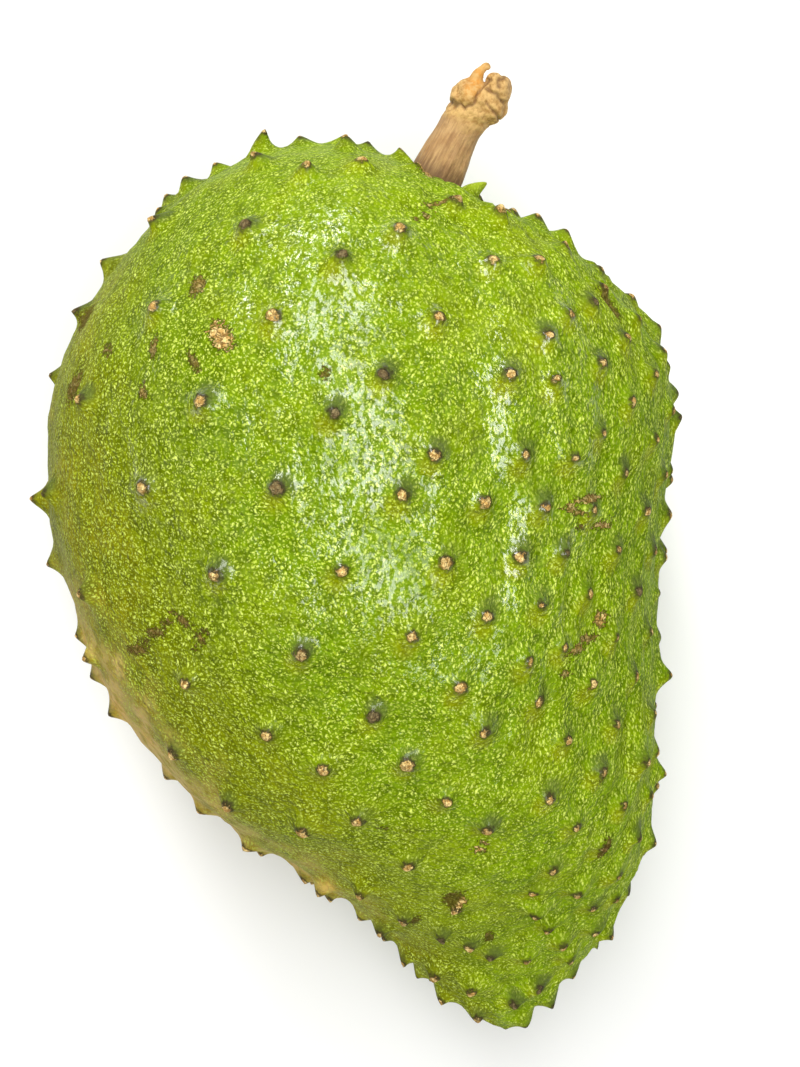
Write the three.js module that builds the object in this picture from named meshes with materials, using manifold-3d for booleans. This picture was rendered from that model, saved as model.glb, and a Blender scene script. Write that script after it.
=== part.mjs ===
// A whole soursop, picked with its woody stem and lying on its back.
//
// Millimetres. +X is across the fruit, +Y runs towards the stem, +Z is up. The origin is the middle
// of the small flat spot the fruit rests on.
import * as THREE from 'three';
import { mergeVertices } from 'three/addons/utils/BufferGeometryUtils.js';
import Module from 'manifold-3d';

const wasm = await Module();
wasm.setup();

// ---------------------------------------------------------------- driving dimensions

// Stations run from the stem end (0) to the tip (14). LEFT_SIDE and RIGHT_SIDE are the [x, y] places
// of the two flanks there, UPPER and UNDER the heights of the ridge and of the underside.
const LEFT_SIDE = [
  [18, 75.5], [8.5, 79], [-6.5, 80], [-24, 78], [-42.5, 67], [-57.5, 48.5], [-66.5, 26.5], [-67.5, 4.5],
  [-63, -17.5], [-53.7, -39.8], [-37.5, -60.5], [-14, -77.5], [8, -95], [19, -108.5], [33.5, -119],
];
const RIGHT_SIDE = [
  [18, 75.5], [23.5, 68], [35.5, 62.5], [49.5, 55.5], [60.5, 44.5], [66, 33], [68.5, 20], [67, 4.5],
  [65, -13.5], [64.5, -33.5], [65.5, -53.5], [63.5, -72], [57.5, -88.5], [48, -103], [33.5, -119],
];
const UPPER = [66, 78, 94, 108, 119, 125, 128, 127, 124, 118, 107, 90, 68, 52, 38];
const UNDER = [66, 54, 38, 22, 10, 3, -1, -1.5, -1, 3, 9, 17, 26, 32, 38];
const SQUARENESS = 2.15;          // 2 is an ellipse, more is a squarer cross-section
const REST_HEIGHT = 0;            // the fruit is flat where it would go below this height

const SKIN_RINGS = 42;
const SKIN_SIDES = 40;

// Spines stand in staggered rows and columns. A column's angle goes round the fruit from its left
// flank (0) over the top (90) to its right flank (180) and on underneath.
const COLUMN_ANGLES = [
  20, 38, 54, 67, 79, 88, 97, 104, 111, 118, 122, 127, 134, 142,
  151, 160, 170, 181, 192, 205, 219, 234, 250, 268, 287, 307, 327, 347,
];
const FIRST_COLUMN = -3;
const ROWS = [-12, 18];
const WIDE_ROWS = { start: 4.3, step: 0.94, slowing: 0.02 };     // stations, on the left half
const CLOSE_ROWS = { start: 5.85, step: 0.44 };                  // stations, on the pinched right half
const PINCH = { rise: [72, 138], fall: [215, 340], amount: 0.97 };
const STEM_BEND = { row: 2.5, degrees: 3 };   // columns swing to the left above this row
const TIP_BEND = { row: 6, degrees: 10 };     // and below this one
// Spines that grew off the even pattern: row, column, then how far off in stations and degrees.
const STRAYS = [
  [-2, 2, 0.3, -4], [-2, 4, -0.45, 3], [-1, 1, 0, -7], [-1, 5, -0.55, 2], [0, 6, 0.2, 6],
  [1, 3, 0.2, -1], [1, 5, -0.25, 4], [1, 7, 0.45, 6], [2, 4, 0.2, -1.5], [4, -2, 0.15, -5.5],
  [5, -1, 0.2, 0], [6, -2, 0.15, 1], [7, 1, -0.3, 5], [8, 0, -0.35, 12], [8, 2, -0.25, 4],
  [8, 6, -0.25, -1], [10, 4, 0.35, -3], [10, 6, 0.65, -3], [11, 5, 0.95, -12],
];
// The spines along the two flanks stand off the pattern too: station, angle and height.
const FLANK_SPINES = [
  [1.65, 34, 2.4], [1.98, 32, 3], [2.5, 29, 2.6], [2.93, 22, 5], [3.7, 15, 3.6], [3.93, 11, 3],
  [4.1, 16, 2], [4.7, 9, 4.4], [5.8, 5, 3.2], [7, 9, 4.8], [7.6, 4, 3.8], [8.32, 12, 2.2],
  [8.72, 5, 2.6], [9.05, 11, 3.2], [9.75, 4, 2.6], [10.12, 12, 2.6], [10.68, 6, 2.4], [11.05, 12, 2.2],
  [11.3, 5, 2.8], [11.62, 10, 3], [11.9, 4, 3.4], [12.18, 11, 3.6], [12.5, 5, 3], [12.98, 10, 3.2],
  [2.58, 124, 1.6], [2.68, 136, 2.4], [2.9, 146, 2.2], [3.25, 159, 1.8], [3.83, 166, 2],
  [5.03, 168, 1.6], [5.45, 175, 2.2], [5.9, 169, 2.6], [6.6, 176, 1.8], [7.2, 168, 1.6],
  [7.7, 174, 2.6], [8.12, 168, 2.4], [8.6, 176, 1.6], [9.02, 171, 3.4], [10.1, 174, 3.4],
  [10.93, 169, 2.8], [11.12, 177, 2], [12.25, 166, 3.2], [13, 170, 2.4], [13.38, 164, 3.4],
  [13.75, 169, 3],
];
const NUB = { station: 1.9, angle: 114, height: 4.2 };     // a lone soft spine beside the stem
const SPINE_SPACING = 7;          // a spine of the pattern is never closer to another than this
const STEM_CLEARANCE = 15;        // nor closer to the stem's foot than this
const SPINE_STATIONS = [1.2, 13.7];
const SPINE_HEIGHT = { open: 4.2, close: 2.4 };    // on the left half and on the pinched right half
const SPINE_RADIUS = 3.6;
const SPINE_ROOT = 1.2;           // how deep a spine starts under the skin
const SPINE_SIDES = 5;
const SPINE_LEAN = { amount: 0.5, stemEnd: [2, 6], tipEnd: [9, 12] };   // towards the nearer end

// The stem: its middle line, its radius along that line and its broken end.
const STEM_LINE = [
  [13.4, 68.6, 64.3], [17.2, 76, 66], [21.5, 84.9, 68], [24.6, 89.8, 69.4], [26.6, 93.2, 70.2],
  [27.6, 96.4, 70.8],
];
const STEM_RADII = [6.2, 6.3, 5.2, 5.1, 6.1, 6.6, 5];
const STEM_RINGS = 16;
const STEM_SIDES = 18;
const KNOB_DEPTH = 0.5;
const SPUR = { foot: [25, 94.5, 71.5], bend: [25.8, 98.2, 72.5], tip: [28.6, 99.9, 73], radius: 2 };
const GAP = 0.3;                  // between the stem and its socket in the fruit
const SOCKET_SHARE = 0.45;        // the part of the stem line the socket is cut along

// ---------------------------------------------------------------- geometry helpers

const RADIANS = Math.PI / 180;

function rail(points) {
  const curve = new THREE.CatmullRomCurve3(
    points.map((p) => new THREE.Vector3(...p)), false, 'catmullrom', 0.5);
  return (share) => curve.getPoint(THREE.MathUtils.clamp(share, 0, 1));
}

function smoothBetween(value, [low, high]) {
  return THREE.MathUtils.smoothstep(value, low, high);
}

// A closed skin over rings of points: the first and last rings are single points.
function ringSkin(firstPoint, rings, lastPoint) {
  const sides = rings[0].length;
  const points = [firstPoint, ...rings.flat(), lastPoint];
  const at = (ring, side) => 1 + ring * sides + (side % sides);
  const faces = [];
  for (let side = 0; side < sides; side += 1) {
    faces.push(0, at(0, side), at(0, side + 1));
    for (let ring = 0; ring + 1 < rings.length; ring += 1) {
      faces.push(at(ring, side), at(ring + 1, side), at(ring + 1, side + 1));
      faces.push(at(ring, side), at(ring + 1, side + 1), at(ring, side + 1));
    }
    faces.push(at(rings.length - 1, side), points.length - 1, at(rings.length - 1, side + 1));
  }
  const geometry = new THREE.BufferGeometry();
  const numbers = points.flatMap((point) => point.toArray());
  geometry.setAttribute('position', new THREE.Float32BufferAttribute(numbers, 3));
  geometry.setIndex(faces);
  return geometry;
}

function toSolid(geometry) {
  const plain = geometry.clone();
  plain.deleteAttribute('normal');
  plain.deleteAttribute('uv');
  const merged = mergeVertices(plain, 1e-4);
  return new wasm.Manifold(new wasm.Mesh({
    numProp: 3,
    vertProperties: new Float32Array(merged.attributes.position.array),
    triVerts: new Uint32Array(merged.index.array),
  }));
}

function toGeometry(solid) {
  const mesh = solid.getMesh();
  const geometry = new THREE.BufferGeometry();
  geometry.setAttribute('position', new THREE.BufferAttribute(mesh.vertProperties, 3));
  geometry.setIndex(new THREE.BufferAttribute(mesh.triVerts, 1));
  geometry.computeVertexNormals();
  return geometry;
}

// ---------------------------------------------------------------- the skin

const LAST_STATION = UPPER.length - 1;
const leftRail = rail(LEFT_SIDE.map(([x, y], i) => [x, y, UNDER[i]]));
const rightRail = rail(RIGHT_SIDE.map(([x, y], i) => [x, y, UPPER[i]]));

function squared(value) {
  return Math.sign(value) * Math.abs(value) ** (2 / SQUARENESS);
}

// A point of the skin: the flanks and heights at a station, joined by a rounded section.
function skinPoint(station, angle) {
  const left = leftRail(station / LAST_STATION);
  const right = rightRail(station / LAST_STATION);
  const across = (1 - squared(Math.cos(angle * RADIANS))) / 2;
  const up = (1 + squared(Math.sin(angle * RADIANS))) / 2;
  return new THREE.Vector3(
    THREE.MathUtils.lerp(left.x, right.x, across),
    THREE.MathUtils.lerp(left.y, right.y, across),
    THREE.MathUtils.lerp(left.z, right.z, up));
}

function skinNormal(station, angle) {
  const step = 0.05;
  const along = skinPoint(station + step, angle).sub(skinPoint(station - step, angle));
  const around = skinPoint(station, angle + 1).sub(skinPoint(station, angle - 1));
  return along.cross(around).normalize();
}

function skinGeometry() {
  const rings = [];
  for (let ring = 1; ring < SKIN_RINGS; ring += 1) {
    const station = (LAST_STATION * (1 - Math.cos((Math.PI * ring) / SKIN_RINGS))) / 2;
    rings.push(Array.from(
      { length: SKIN_SIDES }, (_, side) => skinPoint(station, (360 * side) / SKIN_SIDES)));
  }
  return ringSkin(skinPoint(0, 0), rings, skinPoint(LAST_STATION, 0));
}

// ---------------------------------------------------------------- the spines

// Where each spine stands, as a station and an angle, and its height. Rows are far apart on the left
// half and run together on the pinched right half, and spines that would crowd the two ends or the
// stem are left out.
function spinePlaces() {
  const onFlanks = FLANK_SPINES.map(([station, angle, height]) => ({ station, angle, height }));
  const byHand = [NUB, ...onFlanks].map(
    (place) => ({ ...place, point: skinPoint(place.station, place.angle) }));
  const pattern = [];
  COLUMN_ANGLES.forEach((columnAngle, index) => {
    const column = FIRST_COLUMN + index;
    const { rise, fall, amount } = PINCH;
    const pinch = amount * smoothBetween(columnAngle, rise) * (1 - smoothBetween(columnAngle, fall));
    for (let row = ROWS[0]; row <= ROWS[1]; row += 1) {
      const wide = WIDE_ROWS.start + WIDE_ROWS.step * row - WIDE_ROWS.slowing * row * row;
      const close = CLOSE_ROWS.start + CLOSE_ROWS.step * row;
      const stray = STRAYS.find((entry) => entry[0] === row && entry[1] === column) ?? [row, column, 0, 0];
      const bend = STEM_BEND.degrees * Math.max(0, STEM_BEND.row - row)
        + TIP_BEND.degrees * Math.max(0, row - TIP_BEND.row);
      const station = THREE.MathUtils.lerp(wide, close, pinch) + stray[2];
      const angle = columnAngle - bend * (1 - pinch) + stray[3];
      const height = THREE.MathUtils.lerp(SPINE_HEIGHT.open, SPINE_HEIGHT.close, pinch);
      const staggered = (row + column) % 2 === 0;
      if (staggered && station > SPINE_STATIONS[0] && station < SPINE_STATIONS[1]) {
        pattern.push({ station, angle, height, point: skinPoint(station, angle) });
      }
    }
  });
  const stemFoot = skinPoint(0, 0);
  const places = [...byHand, ...pattern];
  return places.filter(({ point }, index) => index < byHand.length
    || (point.distanceTo(stemFoot) > STEM_CLEARANCE && places.slice(0, index).every(
      (other) => other.point.distanceTo(point) > SPINE_SPACING)));
}

function spineGeometry({ station, angle, height, point }) {
  const { amount, stemEnd, tipEnd } = SPINE_LEAN;
  const lean = amount * (1 - smoothBetween(station, stemEnd) - smoothBetween(station, tipEnd));
  const out = skinNormal(station, angle).add(new THREE.Vector3(0, lean, 0)).normalize();
  const length = height + SPINE_ROOT;
  const spine = new THREE.ConeGeometry(SPINE_RADIUS, length, SPINE_SIDES);
  spine.translate(0, length / 2 - SPINE_ROOT, 0);
  spine.applyQuaternion(new THREE.Quaternion().setFromUnitVectors(new THREE.Vector3(0, 1, 0), out));
  return spine.translate(point.x, point.y, point.z);
}

// ---------------------------------------------------------------- the stem

const stemRail = rail(STEM_LINE);
const stemRadius = rail(STEM_RADII.map((radius, i) => [i, radius, 0]));

// Rings round the stem line from its foot to a share of its length, each `extra` wider than the wood.
function stemGeometry(lastShare, extra, knobs) {
  const rings = [];
  for (let ring = 0; ring <= STEM_RINGS; ring += 1) {
    const share = (lastShare * ring) / STEM_RINGS;
    const centre = stemRail(share);
    const along = stemRail(share + 0.02).sub(stemRail(share - 0.02)).normalize();
    const right = new THREE.Vector3(0, 0, 1).cross(along).normalize();
    const up = along.clone().cross(right);
    rings.push(Array.from({ length: STEM_SIDES }, (_, side) => {
      const angle = (2 * Math.PI * side) / STEM_SIDES;
      const knob = knobs * smoothBetween(share, [0.5, 0.75]) * Math.sin(3 * angle + 7 * share);
      const radius = stemRadius(share).y + extra + knob;
      return centre.clone().addScaledVector(right, -radius * Math.cos(angle))
        .addScaledVector(up, radius * Math.sin(angle));
    }));
  }
  const outward = stemRail(0).sub(stemRail(0.05)).normalize();
  const foot = stemRail(0).addScaledVector(outward, 1 + extra);
  const forward = stemRail(lastShare).sub(stemRail(lastShare - 0.05)).normalize();
  const end = stemRail(lastShare).addScaledVector(forward, 0.8);
  return ringSkin(foot, rings, end);
}

function spurGeometry() {
  const line = rail([SPUR.foot, SPUR.bend, SPUR.tip]);
  const rings = [0, 0.35, 0.7].map((share) => Array.from({ length: 6 }, (_, side) => {
    const angle = (2 * Math.PI * side) / 6;
    const along = line(share + 0.05).sub(line(share)).normalize();
    const right = new THREE.Vector3(0, 0, 1).cross(along).normalize();
    const up = along.clone().cross(right);
    const radius = SPUR.radius * (1 - 0.8 * share);
    return line(share).addScaledVector(right, -radius * Math.cos(angle))
      .addScaledVector(up, radius * Math.sin(angle));
  }));
  return ringSkin(line(0), rings, line(1));
}

// ---------------------------------------------------------------- put together

function fruitSolid() {
  const spines = spinePlaces().map((place) => toSolid(spineGeometry(place)));
  const rough = spines.reduce((whole, spine) => whole.add(spine), toSolid(skinGeometry()));
  const underRest = new THREE.BoxGeometry(300, 300, 20).translate(0, 0, REST_HEIGHT - 10);
  const socket = stemGeometry(SOCKET_SHARE, GAP, 0);
  return rough.subtract(toSolid(underRest)).subtract(toSolid(socket));
}

function named(name, solid, color, roughness) {
  const mesh = new THREE.Mesh(
    toGeometry(solid), new THREE.MeshStandardMaterial({ color, roughness, metalness: 0 }));
  mesh.name = name;
  return mesh;
}

const group = new THREE.Group();
group.add(named('fruit', fruitSolid(), 0x8ca712, 0.45));
group.add(named('stem', toSolid(stemGeometry(1, 0, KNOB_DEPTH)).add(toSolid(spurGeometry())), 0x8a6f4e, 0.8));

export default group;
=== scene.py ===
# %% [markdown]
# # A soursop, grown from numbers
# The fruit is a lopsided heart of green rind with short corky spines, and a woody stem. It lies on its
# back on a pale table and the camera looks straight down on it. Each cell makes one thing, and the cell
# above it says what that thing is on the real fruit and why it is made this way. The first code cell
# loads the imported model, which says how big everything is and where it goes.

# %% Load the fixed frame
import math
import bmesh
import bpy
import numpy as np
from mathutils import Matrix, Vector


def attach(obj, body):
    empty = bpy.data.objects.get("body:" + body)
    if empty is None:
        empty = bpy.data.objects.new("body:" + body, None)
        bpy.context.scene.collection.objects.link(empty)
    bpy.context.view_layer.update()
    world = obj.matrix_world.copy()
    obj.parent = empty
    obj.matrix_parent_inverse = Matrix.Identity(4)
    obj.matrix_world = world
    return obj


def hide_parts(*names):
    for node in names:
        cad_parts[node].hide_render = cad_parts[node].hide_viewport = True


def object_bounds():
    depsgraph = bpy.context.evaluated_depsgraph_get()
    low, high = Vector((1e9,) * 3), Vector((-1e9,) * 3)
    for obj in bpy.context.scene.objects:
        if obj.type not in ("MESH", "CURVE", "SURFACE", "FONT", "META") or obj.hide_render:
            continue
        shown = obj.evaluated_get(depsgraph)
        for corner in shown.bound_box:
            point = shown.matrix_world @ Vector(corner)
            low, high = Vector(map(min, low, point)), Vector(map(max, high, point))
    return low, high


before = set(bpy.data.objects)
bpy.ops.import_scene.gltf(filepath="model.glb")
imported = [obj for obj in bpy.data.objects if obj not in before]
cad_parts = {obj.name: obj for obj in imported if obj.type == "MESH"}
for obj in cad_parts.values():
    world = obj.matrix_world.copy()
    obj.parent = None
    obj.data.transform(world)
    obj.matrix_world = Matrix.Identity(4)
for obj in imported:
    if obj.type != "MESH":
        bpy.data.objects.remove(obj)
cad_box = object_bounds()
MM = 0.001          # the shapes below are worked out in millimetres, and Blender holds metres
print("CAD box, mm:", [[round(c / MM, 1) for c in corner] for corner in cad_box])

# %% [markdown]
# ## Curves through a few stations
# The outline of the fruit is known at fifteen stations between the stem and the tip, and a smooth curve
# runs through them. As a formula it gives every point of the skin at once.


# %% A smooth curve through evenly numbered values
def through(values, station):
    """A cubic between neighbouring values, whose slope at a value is half the step between the two values
    beside it. Past the ends the values run straight on."""
    values = np.asarray(values, float)
    ends = [2 * values[:1] - values[1:2], values, 2 * values[-1:] - values[-2:-1]]
    padded = np.concatenate(ends)
    whole = np.clip(np.floor(station).astype(int), 0, len(values) - 2)
    part = (station - whole)[..., None]
    before, here, there, after = (padded[whole + k] for k in range(4))
    return 0.5 * (2 * here + (there - before) * part
                  + (2 * before - 5 * here + 4 * there - after) * part ** 2
                  + (3 * here - before - 3 * there + after) * part ** 3)


def smooth_between(value, low, high):
    """0 below low, 1 above high, and an S-shaped rise between them."""
    share = np.clip((value - low) / (high - low), 0, 1)
    return share * share * (3 - 2 * share)


def unit(vectors):
    """The same directions with a length of one."""
    return vectors / np.maximum(np.linalg.norm(vectors, axis=-1, keepdims=True), 1e-9)


# %% [markdown]
# ## The smooth body of the fruit
# Without its spines a soursop is a fat heart that leans to one side: the stem sits off the middle and the
# tip swings away. Its flanks, ridge and underside are curves, and every cross-section between them is a
# slightly squared oval. These are the same driving numbers as in the CAD model.

# %% The driving dimensions of the body, in millimetres
LEFT_SIDE = [
    (18, 75.5), (8.5, 79), (-6.5, 80), (-24, 78), (-42.5, 67), (-57.5, 48.5), (-66.5, 26.5), (-67.5, 4.5),
    (-63, -17.5), (-53.7, -39.8), (-37.5, -60.5), (-14, -77.5), (8, -95), (19, -108.5), (33.5, -119)]
RIGHT_SIDE = [
    (18, 75.5), (23.5, 68), (35.5, 62.5), (49.5, 55.5), (60.5, 44.5), (66, 33), (68.5, 20), (67, 4.5),
    (65, -13.5), (64.5, -33.5), (65.5, -53.5), (63.5, -72), (57.5, -88.5), (48, -103), (33.5, -119)]
UPPER = [66, 78, 94, 108, 119, 125, 128, 127, 124, 118, 107, 90, 68, 52, 38]
UNDER = [66, 54, 38, 22, 10, 3, -1, -1.5, -1, 3, 9, 17, 26, 32, 38]
SQUARENESS = 2.15
LAST_STATION = len(UPPER) - 1


def skin_point(station, angle):
    """The flanks and the heights at a station, joined by an oval: its cosine and sine are each raised to
    the power 2 / SQUARENESS. The angle is in degrees from the left flank over the ridge."""
    def squared(value):
        return np.sign(value) * np.abs(value) ** (2 / SQUARENESS)
    across = (1 - squared(np.cos(np.radians(angle)))) / 2
    up = (1 + squared(np.sin(np.radians(angle)))) / 2
    left, right = through(LEFT_SIDE, station), through(RIGHT_SIDE, station)
    upper = through(np.array(UPPER, float)[:, None], station)[..., 0]
    under = through(np.array(UNDER, float)[:, None], station)[..., 0]
    flat = left + (right - left) * across[..., None]
    return np.concatenate([flat, (under + (upper - under) * up)[..., None]], axis=-1)


def skin_normal(station, angle):
    """At right angles to the step along the fruit and the step round it."""
    along = skin_point(station + 0.05, angle) - skin_point(station - 0.05, angle)
    around = skin_point(station, angle + 1) - skin_point(station, angle - 1)
    return unit(np.cross(along, around))


print("length of the body, mm:", round(LEFT_SIDE[3][1] - LEFT_SIDE[-1][1]))

# %% [markdown]
# ## Where the spines stand
# The spines are the tips of the many small fruits that grew together, so they stand in a lattice of
# staggered rows and columns. On the left half the lattice is wide open, and on the right half the rows run
# close together. A few spines grew off the pattern and are moved one by one, those along the two flanks
# are listed one by one because they draw the outline, and the pattern keeps clear of them and of the stem.

# %% The spine lattice
COLUMN_ANGLES = [
    20, 38, 54, 67, 79, 88, 97, 104, 111, 118, 122, 127, 134, 142,
    151, 160, 170, 181, 192, 205, 219, 234, 250, 268, 287, 307, 327, 347]
FIRST_COLUMN = -3
ROWS = range(-12, 19)
STRAYS = {   # (row, column): how far off, in stations and degrees
    (-2, 2): (0.3, -4), (-2, 4): (-0.45, 3), (-1, 1): (0, -7), (-1, 5): (-0.55, 2), (0, 6): (0.2, 6),
    (1, 3): (0.2, -1), (1, 5): (-0.25, 4), (1, 7): (0.45, 6), (2, 4): (0.2, -1.5), (4, -2): (0.15, -5.5),
    (5, -1): (0.2, 0), (6, -2): (0.15, 1), (7, 1): (-0.3, 5), (8, 0): (-0.35, 12), (8, 2): (-0.25, 4),
    (8, 6): (-0.25, -1), (10, 4): (0.35, -3), (10, 6): (0.65, -3), (11, 5): (0.95, -12)}
FLANK_SPINES = [   # station, angle and height
    (1.65, 34, 2.4), (1.98, 32, 3), (2.5, 29, 2.6), (2.93, 22, 5), (3.7, 15, 3.6), (3.93, 11, 3),
    (4.1, 16, 2), (4.7, 9, 4.4), (5.8, 5, 3.2), (7, 9, 4.8), (7.6, 4, 3.8), (8.32, 12, 2.2),
    (8.72, 5, 2.6), (9.05, 11, 3.2), (9.75, 4, 2.6), (10.12, 12, 2.6), (10.68, 6, 2.4), (11.05, 12, 2.2),
    (11.3, 5, 2.8), (11.62, 10, 3), (11.9, 4, 3.4), (12.18, 11, 3.6), (12.5, 5, 3), (12.98, 10, 3.2),
    (2.58, 124, 1.6), (2.68, 136, 2.4), (2.9, 146, 2.2), (3.25, 159, 1.8), (3.83, 166, 2),
    (5.03, 168, 1.6), (5.45, 175, 2.2), (5.9, 169, 2.6), (6.6, 176, 1.8), (7.2, 168, 1.6),
    (7.7, 174, 2.6), (8.12, 168, 2.4), (8.6, 176, 1.6), (9.02, 171, 3.4), (10.1, 174, 3.4),
    (10.93, 169, 2.8), (11.12, 177, 2), (12.25, 166, 3.2), (13, 170, 2.4), (13.38, 164, 3.4),
    (13.75, 169, 3)]
NUB = (1.9, 114, 4.2)
SPINE_SPACING = 7
STEM_CLEARANCE = 15


def spine_lattice():
    """Wide rows follow 4.3 + 0.94 row - 0.02 row squared, close rows 5.85 + 0.44 row, and a pinch that
    rises over the right half blends the two. Returns stations, angles and heights."""
    places = []
    for column, base_angle in enumerate(COLUMN_ANGLES, FIRST_COLUMN):
        pinch = 0.97 * smooth_between(base_angle, 72, 138) * (1 - smooth_between(base_angle, 215, 340))
        for row in ROWS:
            if (row + column) % 2:
                continue
            off_station, off_angle = STRAYS.get((row, column), (0, 0))
            wide = 4.3 + 0.94 * row - 0.02 * row * row
            close = 5.85 + 0.44 * row
            bend = 3 * max(0, 2.5 - row) + 10 * max(0, row - 6)
            station = wide + (close - wide) * pinch + off_station
            if 1.2 < station < 13.7:
                places.append((station, base_angle - bend * (1 - pinch) + off_angle, 3.6 - 1.4 * pinch))
    return places


def thin_out(points, spacing, always):
    """Keeps the first few points always, and each later one unless one that is already kept is nearer
    than the spacing or the first station's point is nearer than the stem clearance."""
    kept = list(range(always))
    for index in range(always, len(points)):
        clear_of_stem = np.linalg.norm(points[index] - STEM_FOOT) > STEM_CLEARANCE
        if clear_of_stem and np.linalg.norm(points[kept] - points[index], axis=1).min() > spacing:
            kept.append(index)
    return kept


STEM_FOOT = skin_point(np.array([0.0]), np.array([0.0]))[0]
by_hand = [NUB] + FLANK_SPINES
lattice = np.array(by_hand + spine_lattice(), float)
lattice = lattice[thin_out(skin_point(lattice[:, 0], lattice[:, 1]), SPINE_SPACING, len(by_hand))]
feet = skin_point(lattice[:, 0], lattice[:, 1])
feet_normals = skin_normal(lattice[:, 0], lattice[:, 1])
print(len(feet), "spines")

# %% [markdown]
# ## The character of each spine
# No two spines are alike. Those on the left edge and at the ends are green horns with a small dark tip,
# those that look up are worn to a short stub with a tan cork tip, and those on the right edge are low
# bumps. A seeded random generator gives each its width, bluntness, lean and colour, so the fruit comes out
# the same every time.

# %% Heights, widths, leans and kinds of the spines
dice = np.random.default_rng(752)
count = len(feet)
facing_up = np.clip(feet_normals[:, 2], 0, 1)
near_stem = 1 - smooth_between(lattice[:, 0], 2.2, 5)
near_tip = smooth_between(lattice[:, 0], 9.5, 12.5)
on_left = smooth_between(-feet[:, 0], 20, 60)
horn = np.clip(on_left + near_stem * (feet[:, 0] < 20) + near_tip, 0, 1) * (1 - 0.8 * facing_up)
spine_height = lattice[:, 2] * dice.uniform(0.78, 0.92, count) * (1 - 0.2 * facing_up)
spine_height *= smooth_between(feet[:, 2], 0, 9)
spine_radius = 3.0 + 1.3 * horn + dice.uniform(-0.4, 0.5, count)
spine_blunt = 1.1 - 0.85 * horn + dice.uniform(-0.15, 0.3, count)
tip_kind = dice.uniform(0, 1, count)
shrunk_on_right = 1 - 0.35 * smooth_between(feet[:, 0], 15, 45)
tip_size = (1.1 - 0.6 * horn) * dice.uniform(0.7, 1.2, count) * shrunk_on_right
end_pull = 0.35 * near_stem - 0.8 * near_tip
spine_lean = np.stack([dice.normal(0, 0.25, count), end_pull + dice.normal(0, 0.2, count),
                       dice.normal(0, 0.15, count)], axis=1)
spine_lean -= feet_normals * np.sum(spine_lean * feet_normals, axis=1, keepdims=True)
spine_power = np.full(count, 1.9)
spine_power[0], spine_radius[0], spine_blunt[0] = 0.5, 1.4, 0.9    # the nub is a soft round finger
tip_size[0], tip_kind[0] = -2.0, 0.0                               # with no cork on it
spine_height[0], spine_lean[0] = 0.75 * NUB[2], (0.8, 0.0, 0.0)
print("spine heights, mm:", spine_height.min().round(1), "to", spine_height.max().round(1))

# %% [markdown]
# ## A skin that is finer where the spines are
# The rind is one closed mesh. Rings from stem to tip are fine enough for the smooth parts, and the spines
# need about half a millimetre. Cutting the edges near each spine in half, twice, puts the fine faces only
# where they are needed and leaves no gap or seam. The rings are spaced evenly along the skin.

# %% The closed grid and its refinement
RING_STEP = 1.8        # between rings, along the skin
SIDES = 216
REFINE = [4.6, 2.5]    # edges nearer to a spine than this are halved, once for each number


def new_object(name, data):
    """An object in the scene that holds a mesh, a lamp or a camera."""
    made = bpy.data.objects.new(name, data)
    bpy.context.scene.collection.objects.link(made)
    return made


def even_stations(step):
    """Stations whose average distance along the skin is the same from ring to ring."""
    fine = np.linspace(0, LAST_STATION, 1200)
    angles = np.arange(0, 360, 15.0)
    path = skin_point(fine[:, None] + 0 * angles, 0 * fine[:, None] + angles)
    travelled = np.linalg.norm(np.diff(path, axis=0), axis=2).mean(axis=1)
    travelled = np.concatenate([[0], np.cumsum(travelled)])
    rings = int(round(travelled[-1] / step))
    return np.interp(np.linspace(0, travelled[-1], rings + 1), travelled, fine)


def closed_rings(first, rings, last):
    """A skin over rings of points, closed at each end by a fan round a single point. Returns the points
    and the faces, wound so that they face out where a ring runs clockwise seen from the first point."""
    ring_count, sides = rings.shape[:2]
    points = np.concatenate([[first], rings.reshape(-1, 3), [last]])
    number = 1 + np.arange(ring_count * sides).reshape(ring_count, sides)
    following = np.roll(number, -1, axis=1)
    quads = np.stack([number[:-1], number[1:], following[1:], following[:-1]], axis=-1).reshape(-1, 4)
    start = np.stack([np.zeros(sides, int), number[0], following[0]], axis=-1)
    end = np.stack([number[-1], np.full(sides, len(points) - 1), following[-1]], axis=-1)
    return points, quads.tolist() + start.tolist() + end.tolist()


def nearest_spine(points):
    """The distance from each point to its nearest spine foot, and the number of that spine."""
    distance = np.full(len(points), 1e9)
    which = np.zeros(len(points), int)
    for index, foot in enumerate(feet):
        gap = np.linalg.norm(points - foot, axis=1)
        closer = gap < distance
        distance[closer] = gap[closer]
        which[closer] = index
    return distance, which


def rows_of(items, field="co"):
    """A vector of each vertex, or of each vertex normal, as an array of rows."""
    flat = np.empty(len(items) * 3, np.float32)
    items.foreach_get(field, flat)
    return flat.reshape(-1, 3).astype(float)


def halve_edges_near_spines(mesh, reach):
    """Cuts every edge whose middle is nearer than reach to a spine."""
    ends = np.empty(len(mesh.edges) * 2, np.int32)
    mesh.edges.foreach_get("vertices", ends)
    middles = rows_of(mesh.vertices)[ends.reshape(-1, 2)].mean(axis=1)
    chosen = np.flatnonzero(nearest_spine(middles)[0] < reach)
    work = bmesh.new()
    work.from_mesh(mesh)
    work.edges.ensure_lookup_table()
    bmesh.ops.subdivide_edges(work, edges=[work.edges[i] for i in chosen], cuts=1, use_grid_fill=True)
    work.to_mesh(mesh)
    work.free()


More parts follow.
